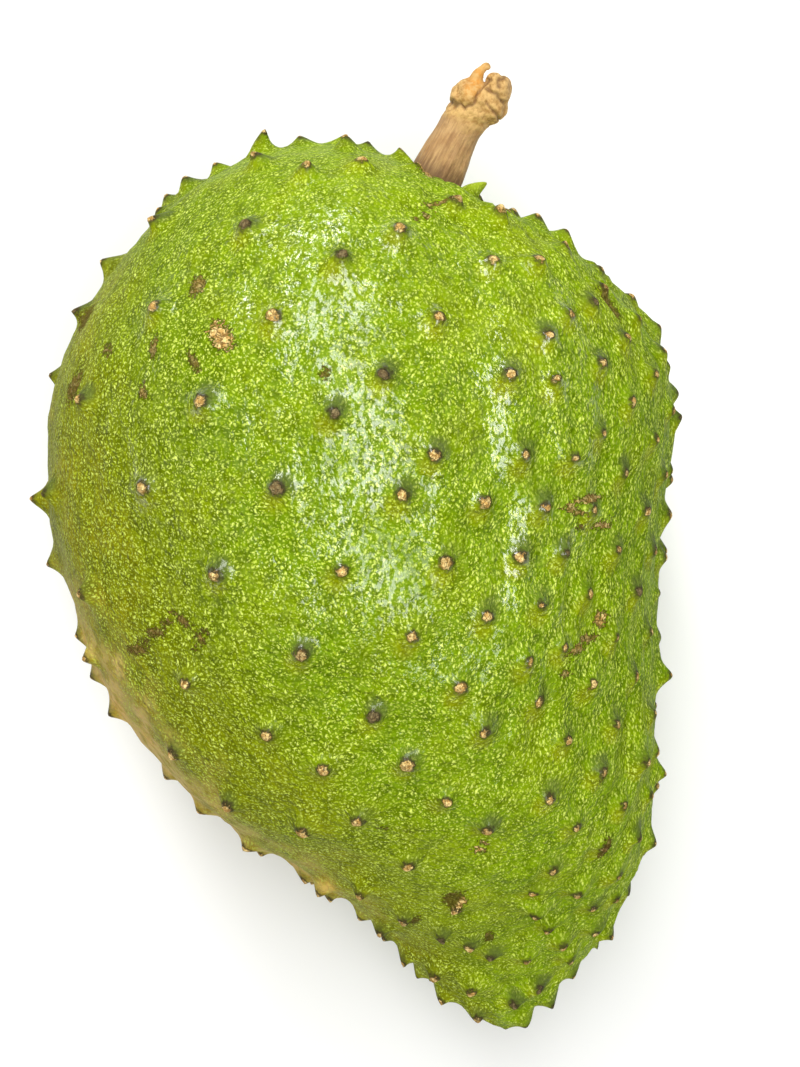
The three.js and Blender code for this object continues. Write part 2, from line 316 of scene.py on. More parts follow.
ring_stations = even_stations(RING_STEP)[1:-1]
ring_angles = np.arange(SIDES) * 360 / SIDES
grid = skin_point(ring_stations[:, None] + 0 * ring_angles, 0 * ring_stations[:, None] + ring_angles)
ends = skin_point(np.array([0.0, LAST_STATION]), np.array([0.0, 0.0]))
skin_mesh = bpy.data.meshes.new("soursop_rind")
skin_points, skin_faces = closed_rings(ends[0], grid, ends[1])
skin_mesh.from_pydata(skin_points.tolist(), [], skin_faces)
for reach in REFINE:
    halve_edges_near_spines(skin_mesh, reach)
print("rind mesh:", len(skin_mesh.vertices), "points,", len(skin_mesh.polygons), "faces")

# %% [markdown]
# ## Uneven growth
# A real rind is never quite smooth. Broad lumps, shallow dents and small wrinkles are each a sum of waves
# that run in random directions, which looks like noise and costs almost nothing. The rind also sinks a
# little round the stem.


# %% Waves in random directions
def waves(points, wavelength, seed, number=24):
    """The mean of sines of the place along random directions, each with its own phase, scaled so that the
    result mostly stays between -1 and 1."""
    roll = np.random.default_rng(seed)
    directions = unit(roll.normal(size=(number, 3))) * roll.uniform(0.7, 1.4, (number, 1))
    phases = roll.uniform(0, 2 * math.pi, number)
    total = np.zeros(len(points))
    for direction, phase in zip(directions, phases):
        total += np.sin(points @ direction * (2 * math.pi / wavelength) + phase)
    return total / math.sqrt(number)


smooth_places = rows_of(skin_mesh.vertices)
outward = rows_of(skin_mesh.vertex_normals, "vector")
lumps = 0.5 * waves(smooth_places, 48, 1) + 0.32 * waves(smooth_places, 17, 2)
lumps += 0.14 * waves(smooth_places, 6, 3)
stem_gap = np.linalg.norm(smooth_places - STEM_FOOT, axis=1)
stem_dimple = -2.0 * np.exp(-(stem_gap / 8.0) ** 2)
print("lumps, mm:", lumps.min().round(2), "to", lumps.max().round(2))

# %% [markdown]
# ## Folds on the right flank
# Where the rows run close together the rind is drawn into low folds that run from the stem to the tip.
# They are the same kind of waves, worked out on coordinates that are squeezed along the fruit, so each
# wave is long that way and short across. A shallow valley runs down the right of the ridge.

# %% Long folds and a shallow valley
FOLD_WIDTH = 8.0
squeezed = smooth_places * (1, 0.14, 1)
right_half = smooth_between(smooth_places[:, 0], 12, 40)
top_right = smooth_between(smooth_places[:, 1], 20, 60) * smooth_between(smooth_places[:, 0], 0, 25)
folds = 0.5 * waves(squeezed, FOLD_WIDTH, 21) + 0.22 * waves(squeezed, FOLD_WIDTH * 0.45, 22)
folds *= np.maximum(right_half * 0.9, top_right) + 0.12
valley = -1.3 * np.exp(-((smooth_places[:, 0] - 26 + 0.08 * smooth_places[:, 1]) / 7) ** 2)
valley *= smooth_between(smooth_places[:, 1], -45, 0) * smooth_between(outward[:, 2], 0.3, 0.7)
shape_change = lumps + stem_dimple + folds + valley
print("folds, mm:", folds.min().round(2), "to", folds.max().round(2))

# %% [markdown]
# ## Raising the spines
# Each spine is a hump with hollow flanks, like a tent held up by one pole: the height falls off quickly
# near the top and slowly at the foot. It stands on a low broad swelling. The tip is rounded by a blunting
# length, and the top of a leaning spine is carried sideways more than its foot, which bends it to a claw.


# %% Heights and sideways pull of every point of the rind
def raise_spines(points, normals):
    """Adds, for each spine, height times (1 - distance / radius) to its power along the normal, a
    swelling of an eighth of that, and a sideways pull that grows with the square of the height share."""
    moved = points.copy()
    for index, foot in enumerate(feet):
        gap = np.linalg.norm(points - foot, axis=1)
        near = gap < 14
        blunt = spine_blunt[index]
        distance = np.sqrt(gap[near] ** 2 + blunt ** 2) - blunt
        share = np.clip(1 - distance / spine_radius[index], 0, 1) ** spine_power[index]
        swelling = 0.12 * np.exp(-(gap[near] / 5.0) ** 2)
        height = spine_height[index] * (share + swelling)
        pull = spine_height[index] * share ** 2
        moved[near] += normals[near] * height[:, None] + spine_lean[index] * pull[:, None]
    return moved


def put_points(mesh, places):
    """Moves the vertices to places in millimetres, in metres, and shades the mesh smooth."""
    mesh.vertices.foreach_set("co", (places * MM).astype(np.float32).ravel())
    mesh.polygons.foreach_set("use_smooth", np.ones(len(mesh.polygons), bool))
    mesh.update()


grown = raise_spines(smooth_places, outward) + outward * shape_change[:, None]
lowest, highest = np.array(cad_box) / MM
grown = np.clip(grown, lowest + (0.02, 0.02, 0), highest - 0.02)
put_points(skin_mesh, grown)
print("rind, mm:", grown.min(0).round(1), "to", grown.max(0).round(1))

# %% [markdown]
# ## What the paint needs to know
# The finish changes with the distance to the nearest spine: cork on the tip, a dark ring, painted shade on
# one side and a yellow stain on the other. Those distances are stored on the mesh as attributes, and so are
# the scars, as soft patches that the material will break up.

# %% Distances, stains and scars as attributes
# The painted shade of each spine lies on its stem side, a little to the right; the yellow stain lies the
# other way.
SPINE_SHADE_SIDE = np.array([0.8, 1.4, 0.2])      # where the grey smudge lies from its spine, in millimetres
STAIN_SIDE = np.array([-1.0, -2.2, -0.2])    # where the yellow stain lies
SCARS = [   # x, y, half length, half width, turn in degrees, and 1 for tan cork or 0 for dark
    (-26, 35.5, 3.6, 2.3, -55, 1), (-31.5, 46.5, 2.4, 1.5, 60, 0.25), (-50, 34, 2.0, 0.8, 80, 0.2),
    (-40, 34, 2.6, 0.7, 80, 0.25), (-42, 25, 2.2, 0.8, 100, 0.35), (-31.5, 30.5, 2.6, 1.0, 120, 0.1),
    (-5.5, 28, 1.6, 1.1, 0, 0.05), (-57.5, 27, 3.6, 1.2, 70, 0.15), (-57, 42, 3.6, 1.1, 60, 0.05),
    (51.5, 44, 4.0, 0.9, -55, 0.1), (47, 4, 3.6, 0.9, 10, 0.45), (43.5, 1.5, 2.6, 0.8, -12, 0.35),
    (50.5, -1, 3.0, 0.8, 18, 0.6), (44.5, -2, 1.6, 0.6, 30, 0.2), (46, -25.5, 4.4, 1.1, 30, 0.35),
    (50, -20.5, 2.2, 1.0, 70, 0.8), (42.5, -31, 1.8, 0.8, 40, 0.3), (25.5, -68, 2.2, 0.9, 40, 0.8),
    (20.5, -80, 2.8, 1.6, 15, 0.0), (22, -80.5, 1.3, 0.9, 60, 0.9), (7.5, -63.5, 3.6, 0.35, -8, 0.05),
    (51.5, -69, 2.8, 0.9, 75, 0.0), (50.5, -52.5, 1.8, 0.9, 60, 0.1), (13.5, 71, 3.0, 0.9, -20, 0.9),
    (15.5, 63.5, 4.0, 0.45, 12, 0.35), (13.5, 60.5, 2.4, 0.5, 25, 0.3), (-40.5, -23, 4.6, 1.1, 35, 0.1),
    (-35, -20.5, 3.2, 0.7, -30, 0.15), (-31, -24, 3.4, 0.9, 60, 0.1), (-45, -27, 3.0, 0.8, 10, 0.15),
    (28.5, -91.5, 1.6, 1.2, 80, 0.05), (12, -86.5, 1.8, 1.1, 60, 0.0)]


def scar_patches(points):
    """For each scar the bell exp(-(along / half length) squared - (across / half width) squared), on the
    upper side only. Returns the strongest bell at each point and its kind."""
    strength, kind = np.zeros(len(points)), np.zeros(len(points))
    for x, y, half_length, half_width, turn, scar_kind in SCARS:
        c, s = math.cos(math.radians(turn)), math.sin(math.radians(turn))
        dx, dy = points[:, 0] - x, points[:, 1] - y
        along, across = (dx * c + dy * s) / half_length, (dy * c - dx * s) / half_width
        bell = np.exp(-(along ** 2 + across ** 2)) * smooth_between(points[:, 2], 45, 65)
        kind = np.where(bell > strength, scar_kind, kind)
        strength = np.maximum(strength, bell)
    return strength, kind


def add_attribute(mesh, name, values):
    """Stores one number for each vertex, or one vector where the values are rows."""
    kind, field = ("FLOAT_VECTOR", "vector") if np.ndim(values) == 2 else ("FLOAT", "value")
    mesh.attributes.new(name, kind, "POINT").data.foreach_set(field, np.asarray(values, np.float32).ravel())


tip_distance, tip_number = nearest_spine(smooth_places)
from_tip = smooth_places - feet[tip_number]
scar_strength, scar_kind = scar_patches(smooth_places)
round_spines = unit(from_tip) * np.exp(-(tip_distance / 4.0) ** 2)[:, None]
along_folds = np.outer(smooth_between(smooth_places[:, 0], 10, 40), (0, 0.9, 0))
for name, values in {
        "tip_distance": tip_distance, "tip_size": tip_size[tip_number], "tip_kind": tip_kind[tip_number],
        "spine_shade_distance": np.linalg.norm(from_tip - SPINE_SHADE_SIDE, axis=1),
        "stain_distance": np.linalg.norm(from_tip - STAIN_SIDE, axis=1),
        "scar": scar_strength, "scar_kind": scar_kind, "grain_lie": round_spines + along_folds}.items():
    add_attribute(skin_mesh, name, values)
print("attributes:", [a.name for a in skin_mesh.attributes if a.domain == "POINT"])

# %% [markdown]
# ## The broad colours of the rind
# The rind is a bright yellow-green on the shoulder, a deeper green in the middle, olive on the left flank
# and tan along the lower left edge. Such slow changes are one colour for each vertex, laid over each other
# in order. Where the flecks thin out along the edges and how waxy the skin is are stored the same way, and
# the fine pattern is left to the material.


# %% The tint of every point
def from_screen(red, green, blue):
    """A colour as seen on a screen, 0 to 255, turned to the linear values that Blender mixes."""
    value = np.array([red, green, blue]) / 255
    return np.where(value <= 0.04045, value / 12.92, ((value + 0.055) / 1.055) ** 2.4)


MID_GREEN = from_screen(112, 143, 4)
SHOULDER_GREEN = from_screen(126, 154, 8)
LEFT_GREEN = from_screen(103, 127, 6)
TIP_GREEN = from_screen(130, 160, 8)
LOW_OLIVE = from_screen(130, 130, 4)
FLANK_OLIVE = from_screen(146, 148, 40)
EDGE_BAND_TAN = from_screen(226, 190, 118)
UNDER_GREEN = from_screen(112, 128, 30)
NUB_GREEN = from_screen(172, 192, 62)


def blend_to(base, colour, amount):
    """Moves each colour towards one colour by an amount for each point."""
    return base + (colour - base) * np.clip(amount, 0, 1)[:, None]


x, y = smooth_places[:, :2].T
left_edge = smooth_between(-outward[:, 0] - 0.3 * outward[:, 2], 0.45, 0.95)
to_lower_left = -outward @ (0.84, 0.54, 0.1)
lower_left = smooth_between(to_lower_left + 0.05 * waves(smooth_places, 9, 6), 0.66, 1.0)
# A tan band along the lower left edge, between the middle of the fruit and the tip.
edge_band = lower_left * smooth_between(-y, 0, 34) * (1 - smooth_between(-y, 76, 96))
from_nub = np.linalg.norm(smooth_places - feet[0], axis=1)
tint = np.tile(MID_GREEN, (len(x), 1))
for green, amount in (
        (SHOULDER_GREEN, smooth_between(y + 8 * waves(smooth_places, 60, 4), 10, 75)),
        (LEFT_GREEN, 0.8 * smooth_between(-x, 5, 55)),
        (TIP_GREEN, smooth_between(-y + 6 * waves(smooth_places, 30, 5), 30, 105)),
        (FLANK_OLIVE, 0.8 * left_edge),
        (LOW_OLIVE, 0.7 * smooth_between(to_lower_left, 0.12, 0.75)),
        (EDGE_BAND_TAN, 0.85 * edge_band),
        (UNDER_GREEN, 0.7 * smooth_between(-outward[:, 2], 0.1, 0.8)),
        (NUB_GREEN, np.exp(-(from_nub / 2.2) ** 2))):
    tint = blend_to(tint, green, amount)
add_attribute(skin_mesh, "edge_band", np.maximum(edge_band, 0.45 * left_edge))
wax_left = 1 - 0.65 * smooth_between(-y + 8 * waves(smooth_places, 40, 7), 0, 40)
add_attribute(skin_mesh, "waxy", wax_left * smooth_between(outward[:, 2], 0.58, 0.92))
colour_attribute = skin_mesh.attributes.new("tint", "FLOAT_COLOR", "POINT")
with_alpha = np.concatenate([tint, np.ones((len(tint), 1))], axis=1)
colour_attribute.data.foreach_set("color", with_alpha.astype(np.float32).ravel())
print("mean tint, linear:", tint.mean(0).round(3))

# %% [markdown]
# ## Building shader trees
# A material is a tree of nodes. Adding a node and linking its sockets takes many lines in Blender, so a
# few helpers say it in one.


# %% Helpers for shader trees
FLOAT, COLOUR, VECTOR = "NodeSocketFloat", "NodeSocketColor", "NodeSocketVector"


def fill(tree, socket, value):
    """Links a socket to another, or sets it to a number, a vector or a colour array."""
    if isinstance(value, bpy.types.NodeSocket):
        tree.links.new(value, socket)
    else:
        socket.default_value = (*value.tolist(), 1.0) if isinstance(value, np.ndarray) else value


def add_node(tree, kind, inputs=None, **settings):
    """One node with its settings and its filled inputs."""
    node = tree.nodes.new(kind)
    for name, value in settings.items():
        setattr(node, name, value)
    for name, value in (inputs or {}).items():
        fill(tree, node.inputs[name], value)
    return node


def calculate(tree, operation, *values):
    """A Math node's result, kept between 0 and 1 where the operation's name ends in CLAMPED."""
    clamped = operation.endswith(" CLAMPED")
    return add_node(tree, "ShaderNodeMath", dict(enumerate(values)), use_clamp=clamped,
                    operation=operation.removesuffix(" CLAMPED")).outputs[0]


def product(tree, first, *others):
    """All the values multiplied together."""
    for other in others:
        first = calculate(tree, "MULTIPLY", first, other)
    return first


def total(tree, first, *others):
    """All the values added up."""
    for other in others:
        first = calculate(tree, "ADD", first, other)
    return first


def rest_of(tree, share):
    """One minus the share."""
    return calculate(tree, "SUBTRACT", 1.0, share)


def vector(tree, operation, *values, output=0):
    """A Vector Math node's result."""
    node = add_node(tree, "ShaderNodeVectorMath", dict(enumerate(values)), operation=operation)
    return node.outputs[output]


def scaled(tree, direction, size):
    """A vector multiplied by a number."""
    return add_node(tree, "ShaderNodeVectorMath", {0: direction, "Scale": size}, operation="SCALE").outputs[0]


def soft_step(tree, value, low, high):
    """0 at low and 1 at high, with a smooth rise. Low may be the larger, and then it falls."""
    return add_node(tree, "ShaderNodeMapRange", {"Value": value, "From Min": low, "From Max": high},
                    interpolation_type="SMOOTHSTEP").outputs[0]


def mix_colours(tree, amount, first, second, blend="MIX"):
    """A colour between two colours."""
    node = add_node(tree, "ShaderNodeMix", data_type="RGBA", blend_type=blend)
    for number, value in {0: amount, 6: first, 7: second}.items():
        fill(tree, node.inputs[number], value)
    return node.outputs[2]


def noise(tree, place, scale, detail=2.0, roughness=0.5):
    """A Noise node's value, at that many cells to the millimetre."""
    return add_node(tree, "ShaderNodeTexNoise", {"Vector": place, "Scale": scale, "Detail": detail,
                                                  "Roughness": roughness}).outputs["Fac"]


def attribute(tree, name, output="Fac"):
    """A value stored on the mesh."""
    return add_node(tree, "ShaderNodeAttribute", attribute_name=name).outputs[output]


def new_group(name, inputs, outputs):
    """An empty node group with named sockets: {name: (socket type, starting value)} and {name: type}."""
    group = bpy.data.node_groups.new(name, "ShaderNodeTree")
    for socket_name, (kind, value) in inputs.items():
        socket = group.interface.new_socket(socket_name, in_out="INPUT", socket_type=kind)
        if value is not None:
            socket.default_value = value
    for socket_name, kind in outputs.items():
        group.interface.new_socket(socket_name, in_out="OUTPUT", socket_type=kind)
    return group, group.nodes.new("NodeGroupInput").outputs, group.nodes.new("NodeGroupOutput").inputs


def relief(tree, height, strength=1.0):
    """The normal that a height in millimetres gives."""
    inputs = {"Strength": strength, "Distance": MM, "Height": height}
    return add_node(tree, "ShaderNodeBump", inputs).outputs[0]


def place_group(tree, group, inputs):
    """A node that holds the group, with its inputs linked or set. Returns its outputs."""
    return add_node(tree, "ShaderNodeGroup", inputs, node_tree=group).outputs


def new_material(name):
    """An empty material, its tree, and the place in millimetres, so every scale below is a size on the
    fruit."""
    material = bpy.data.materials.new(name)
    material.use_nodes = True
    tree = material.node_tree
    return material, tree, scaled(tree, add_node(tree, "ShaderNodeTexCoord").outputs["Object"], 1 / MM)


def finish_shader(tree, inputs):
    """Fills the named sockets of the material's Principled shader."""
    for name, value in inputs.items():
        fill(tree, tree.nodes["Principled BSDF"].inputs[name], value)


print("shader helpers ready")

# %% [markdown]
# ## Rice-grain flecks
# The rind is full of pale flecks, each like a grain of rice about a millimetre long. A Voronoi texture
# scatters cell centres over the skin. The cell's own random colour gives its grain a direction, and an oval
# is drawn round the centre along it. Most of the offset that points out of the skin is taken away, so that
# a grain shows even where its centre lies a little under the surface.


# %% The grain group
def rice_grain_group():
    """Mask = soft step of the square root of (along / half length) squared + (across / half width)
    squared, for the offset from the nearest cell centre. Random is a number for each grain."""
    group, given, result = new_group(
        "rice_grains",
        {"Place": (VECTOR, None), "Normal": (VECTOR, None), "Per Millimetre": (FLOAT, 0.7),
         "Half Length": (FLOAT, 0.5), "Half Width": (FLOAT, 0.2), "Lie Along": (VECTOR, None),
         "Wobble": (FLOAT, 0.25)},
        {"Mask": FLOAT, "Random": FLOAT})
    ripple = add_node(group, "ShaderNodeTexNoise", {"Vector": given["Place"], "Scale": 1.3, "Detail": 2.0})
    shift = vector(group, "SUBTRACT", ripple.outputs["Color"], (0.5, 0.5, 0.5))
    place = vector(group, "ADD", given["Place"], scaled(group, shift, given["Wobble"]))
    cells = add_node(group, "ShaderNodeTexVoronoi", {"Vector": place, "Scale": given["Per Millimetre"]})
    offset = vector(group, "SUBTRACT", place, cells.outputs["Position"])
    sunk = product(group, vector(group, "DOT_PRODUCT", offset, given["Normal"], output="Value"), 0.85)
    offset = vector(group, "SUBTRACT", offset, scaled(group, given["Normal"], sunk))
    direction = vector(group, "SUBTRACT", cells.outputs["Color"], (0.5, 0.5, 0.5))
    direction = vector(group, "NORMALIZE", vector(group, "ADD", direction, given["Lie Along"]))
    along = vector(group, "DOT_PRODUCT", offset, direction, output="Value")
    across = vector(group, "LENGTH", vector(group, "SUBTRACT", offset, scaled(group, direction, along)),
                    output="Value")
    shares = [calculate(group, "DIVIDE", along, given["Half Length"]),
              calculate(group, "DIVIDE", across, given["Half Width"])]
    oval = calculate(group, "SQRT", total(group, *[product(group, v, v) for v in shares]))
    group.links.new(soft_step(group, oval, 1.3, 0.3), result["Mask"])
    parts = add_node(group, "ShaderNodeSeparateColor", {0: cells.outputs["Color"]})
    group.links.new(parts.outputs["Green"], result["Random"])
    return group


rice_grains = rice_grain_group()
print("group made:", rice_grains.name)

# %% [markdown]
# ## Corky breakage
# Spine tips and scars have the same crumbly cork surface: tan crumbs with dark cracks between them. One
# group makes it: a noise mixes light and dark cork, and the borders between the cells of a Voronoi texture
# are the cracks. It gives a colour and a height.


# %% The cork group
def cork_group():
    """Colour = light and dark mixed by a noise, darkened where the distance to a cell border is small.
    Height = the noise, lowered in the cracks."""
    group, given, result = new_group(
        "crumbly_cork",
        {"Place": (VECTOR, None), "Light": (COLOUR, None), "Dark": (COLOUR, None), "Crumb": (FLOAT, 1.2)},
        {"Color": COLOUR, "Height": FLOAT})
    coarse = noise(group, given["Place"], given["Crumb"], detail=3.0, roughness=0.6)
    ripple = add_node(group, "ShaderNodeTexNoise", {"Vector": given["Place"], "Scale": given["Crumb"]})
    place = vector(group, "ADD", given["Place"], scaled(group, ripple.outputs["Color"], 1.2))
    borders = add_node(group, "ShaderNodeTexVoronoi", {"Vector": place, "Scale": given["Crumb"]},
                       feature="DISTANCE_TO_EDGE").outputs["Distance"]
    crack = soft_step(group, borders, 0.10, 0.02)
    mixed = mix_colours(group, soft_step(group, coarse, 0.6, 0.42), given["Light"], given["Dark"])
    deep = mix_colours(group, 1.0, given["Dark"], (0.35, 0.3, 0.28, 1), "MULTIPLY")
    group.links.new(mix_colours(group, product(group, crack, 0.7), mixed, deep), result["Color"])
    group.links.new(calculate(group, "SUBTRACT", coarse, product(group, crack, 0.4)), result["Height"])
    return group


crumbly_cork = cork_group()
print("group made:", crumbly_cork.name)

# %% [markdown]
# ## The rind's finish
# From the bottom up: the tint stored on the mesh, two mottles, a yellow stain at each spine, the flecks in
# two sizes, grey painted shade beside each spine, a broken dark ring that the painted shade deepens on that
# side, the cork tip, and the scars. Over it lies a thin coat of wax.
# It has worn off between short streaks and in broad patches, and it follows the relief of the flecks and
# creases only weakly, so the light above draws a broad broken sheen, as on a real rind.

# %% The rind material
GRAIN_PALE = from_screen(190, 214, 42)
GRAIN_WHITE = from_screen(224, 240, 114)
STAIN_YELLOW = from_screen(146, 150, 6)
# The grey is painted shade beside each spine.
SPINE_SHADE_GREY = from_screen(84, 98, 44)
# The dark ring is partly the bruised rim round the cork and partly painted shade.
RIM_AND_SHADE_DARK = from_screen(60, 48, 34)
CORK_LIGHT = from_screen(252, 222, 148)
CORK_DARK = from_screen(204, 162, 90)
CORK_GREY = from_screen(84, 78, 60)
SCAR_BROWN = from_screen(88, 68, 30)
DARKER = np.array([0.64, 0.66, 0.28])      # what the two mottles leave of each colour
YELLOWER = np.array([1.35, 1.12, 0.8])
WAX_IOR = 1.75
WAX_ROUGHNESS = 0.14
WAX_CRINKLE = 0.26      # how much of the relief the wax follows
WAX_LEFT = 0.25         # the least share of wax where it has worn off in patches


def grain_layers(tree, colour, place, bare):
    """Two sizes of grains over a colour, weaker where a slow noise is low. Returns the colour and the
    grain height."""
    normal = add_node(tree, "ShaderNodeNewGeometry").outputs["Normal"]
    lengthwise = vector(tree, "MULTIPLY", place, (1.0, 0.3, 1.0))
    crowd = soft_step(tree, noise(tree, lengthwise, 0.35, detail=2.0), 0.32, 0.6)
    height = None
    for per_millimetre, half_length, half_width, wobble, strength in (
            (0.76, 0.62, 0.26, 0.8, 1.0), (1.3, 0.36, 0.16, 0.5, 0.8)):
        grains = place_group(tree, rice_grains, {
            "Place": place, "Normal": normal, "Per Millimetre": per_millimetre, "Half Length": half_length,
            "Half Width": half_width, "Lie Along": attribute(tree, "grain_lie", "Vector"), "Wobble": wobble})
        showing = total(tree, product(tree, grains["Random"], 0.45), 0.6)
        mask = product(tree, grains["Mask"], showing, bare, strength,
                       total(tree, product(tree, crowd, 0.55), 0.45))
        grain_colour = mix_colours(tree, grains["Random"], GRAIN_PALE, GRAIN_WHITE)
        colour = mix_colours(tree, mask, colour, grain_colour)
        height = mask if height is None else calculate(tree, "MAXIMUM", height, mask)
    return colour, height


def spine_marks(tree, colour, place, ragged):
    """Grey painted shade on one side of each spine, a dark ring that is partly painted shade, and the cork
    tip. Returns the colour and the cork mask.
    """
    kind = attribute(tree, "tip_kind")
    past_rim = calculate(tree, "SUBTRACT", attribute(tree, "tip_distance"), attribute(tree, "tip_size"))
    from_rim = total(tree, past_rim, ragged)
    # Painted shade: a grey patch beside each spine on its stem side, a little to the right.
    spine_shade_place = total(tree, attribute(tree, "spine_shade_distance"), ragged)
    spine_shade = product(tree, soft_step(tree, spine_shade_place, 3.6, 1.0), soft_step(tree, kind, 0.0, 0.8), 0.8)
    colour = mix_colours(tree, spine_shade, colour, SPINE_SHADE_GREY)
    # The ring is partly the bruised rim round the cork and partly painted shade, three times as strong on the
    # shaded side.
    shaded_side = soft_step(tree, spine_shade_place, 3.4, 1.6)
    share = total(tree, product(tree, shaded_side, 0.6), 0.3)
    ring = product(tree, soft_step(tree, from_rim, 1.0, 0.1), share)
    colour = mix_colours(tree, ring, colour, RIM_AND_SHADE_DARK)
    cork = place_group(tree, crumbly_cork, {
        "Place": place, "Light": CORK_LIGHT, "Dark": CORK_DARK, "Crumb": 1.1})
    worn = soft_step(tree, kind, 0.8, 0.88)
    tip_colour = mix_colours(tree, product(tree, worn, 0.8), cork["Color"], CORK_GREY)
    tip = soft_step(tree, from_rim, 0.15, -0.2)
    return mix_colours(tree, tip, colour, tip_colour), tip


def scar_marks(tree, colour, place, ragged):
    """Where the stored bell plus a ragged noise is high there is cork or a stain, with a brown rim."""
    fine = calculate(tree, "SUBTRACT", noise(tree, place, 1.9, detail=3.0, roughness=0.6), 0.5)
    bell = total(tree, attribute(tree, "scar"), product(tree, ragged, 0.3), product(tree, fine, 1.5))
    kind = calculate(tree, "ADD CLAMPED", attribute(tree, "scar_kind"), product(tree, ragged, 0.5))
    cork = place_group(tree, crumbly_cork, {
        "Place": place, "Light": CORK_LIGHT, "Dark": CORK_DARK, "Crumb": 0.8})
    shown = calculate(tree, "MULTIPLY", attribute(tree, "scar"), 4.0)
    edge = product(tree, soft_step(tree, bell, 0.34, 0.5), soft_step(tree, shown, 0.1, 0.6))
    core = product(tree, soft_step(tree, bell, 0.5, 0.62), kind)
    colour = mix_colours(tree, product(tree, edge, 0.8), colour, SCAR_BROWN)
    return mix_colours(tree, core, colour, cork["Color"]), edge, cork["Height"]


def rind_material():
    """The layers are mixed one over another by masks that come from the mesh's attributes."""
    material, tree, place = new_material("waxy_rind")
    patch = noise(tree, place, 0.32, detail=3.0)
    edge_noise = noise(tree, place, 1.0, detail=3.0, roughness=0.65)
    ragged = product(tree, calculate(tree, "SUBTRACT", edge_noise, 0.5), 2.0)
    colour = attribute(tree, "tint", "Color")
    colour = mix_colours(tree, soft_step(tree, patch, 0.4, 0.66), colour, DARKER, "MULTIPLY")
    mottle = product(tree, soft_step(tree, noise(tree, place, 0.08, detail=3.0), 0.45, 0.7), 0.6)
    colour = mix_colours(tree, mottle, colour, YELLOWER, "MULTIPLY")
    stain_place = total(tree, attribute(tree, "stain_distance"), ragged)
    stain = product(tree, soft_step(tree, stain_place, 4.0, 0.8), 0.6)
    colour = mix_colours(tree, stain, colour, STAIN_YELLOW)
    bare = soft_step(tree, total(tree, attribute(tree, "tip_distance"), ragged), 0.9, 2.4)
    bare = product(tree, bare, rest_of(tree, product(tree, attribute(tree, "edge_band"), 0.75)))
    colour, grain = grain_layers(tree, colour, place, bare)
    colour, tip = spine_marks(tree, colour, place, ragged)
    colour, scar, crumbs = scar_marks(tree, colour, place, ragged)
    corky = calculate(tree, "MAXIMUM", tip, scar)
    streaky = vector(tree, "MULTIPLY", place, (1.0, 0.55, 1.0))
    glossy = product(tree, soft_step(tree, noise(tree, streaky, 0.95, detail=2.0), 0.46, 0.56), 1.0)
    wax = calculate(tree, "ADD CLAMPED", product(tree, grain, 0.3), total(tree, glossy, 0.04))
    bloom = soft_step(tree, noise(tree, place, 0.055, detail=3.0), 0.36, 0.56)
    wax = product(tree, wax, attribute(tree, "waxy"), rest_of(tree, corky),
                  total(tree, product(tree, bloom, 1 - WAX_LEFT), WAX_LEFT))
    lengthy = calculate(tree, "SUBTRACT", noise(tree, place, 0.42), 0.5)
    creases = calculate(tree, "ABSOLUTE", lengthy)
    height = total(tree, product(tree, grain, 0.15), product(tree, creases, 1.5),
                   product(tree, noise(tree, place, 1.1), 0.35), product(tree, crumbs, corky, 0.6))
    finish_shader(tree, {
        "Base Color": colour, "Roughness": total(tree, product(tree, corky, 0.35), 0.5),
        "Specular IOR Level": 0.03, "Normal": relief(tree, height), "Coat Weight": wax,
        "Coat Roughness": WAX_ROUGHNESS, "Coat IOR": WAX_IOR,
        "Coat Normal": relief(tree, height, WAX_CRINKLE)})
    return material


soursop_fruit = new_object("soursop_fruit", skin_mesh)
skin_mesh.materials.append(rind_material())
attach(soursop_fruit, "root")
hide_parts("fruit")
print("rind painted:", skin_mesh.materials[0].name)

# %% [markdown]
# ## The woody stem
# The stem is a stalk as thick as a finger that broke off at a joint. Its lower part is a tube, a little
# narrower in the middle. The broken end is a knot of rounded lumps with a notch between them and a splinter
# that curls over. Each is a simple formula, and a voxel remesh melts them into one closed skin, as such
# lumps grow together on the plant.

# %% The driving dimensions of the stem, in millimetres
STEM_LINE = [(13.4, 68.6, 64.3), (17.2, 76, 66), (21.5, 84.9, 68), (24.6, 89.8, 69.4), (26.2, 92.4, 70.2)]
STEM_RADII = [5.9, 5.9, 4.75, 5.2, 5.3]
STEM_FORWARD = unit(np.array([0.48, 0.87, 0.1]))
STEM_LUMPS = [   # centre, and half sizes across, along and up the stem
    ((24.0, 92.0, 70.0), (4.2, 4.7, 5.4)), ((29.9, 92.9, 70.6), (3.1, 4.3, 4.6)),
    ((28.8, 90.0, 69.6), (3.5, 3.6, 5.2)), ((26.6, 91.8, 67.0), (5.0, 4.4, 3.6)),
    ((26.8, 91.6, 71.6), (2.6, 3.8, 3.4)), ((29.4, 95.2, 72.2), (2.0, 1.9, 2.6))]
SPLINTER_LINE = [
    (24.4, 93.0, 71.4), (25.4, 95.6, 72.4), (26.3, 97.4, 73), (27.5, 98.5, 73.2), (28.3, 97.9, 73)]
SPLINTER_RADII = [2.3, 1.6, 1.05, 0.7, 0.4]
VOXEL = 0.28


def tube(line, radii, rings, sides):
    """A circle carried along a smooth line, with its radius running smoothly through the given radii. Each
    circle is square to the line, with one axis level."""
    stations = np.linspace(0, len(line) - 1, rings)
    centres = through(line, stations)
    forward = unit(np.gradient(centres, axis=0))
    level = unit(np.cross(forward, [0, 0, 1]))
    upright = np.cross(level, forward)
    radius = through(np.array(radii, float)[:, None], stations * (len(radii) - 1) / (len(line) - 1))
    turn = np.linspace(0, 2 * math.pi, sides, endpoint=False)
    spokes = np.cos(turn)[None, :, None] * level[:, None] + np.sin(turn)[None, :, None] * upright[:, None]
    rings_of_points = centres[:, None] + radius[:, None] * spokes
    return closed_rings(centres[0], rings_of_points, centres[-1])


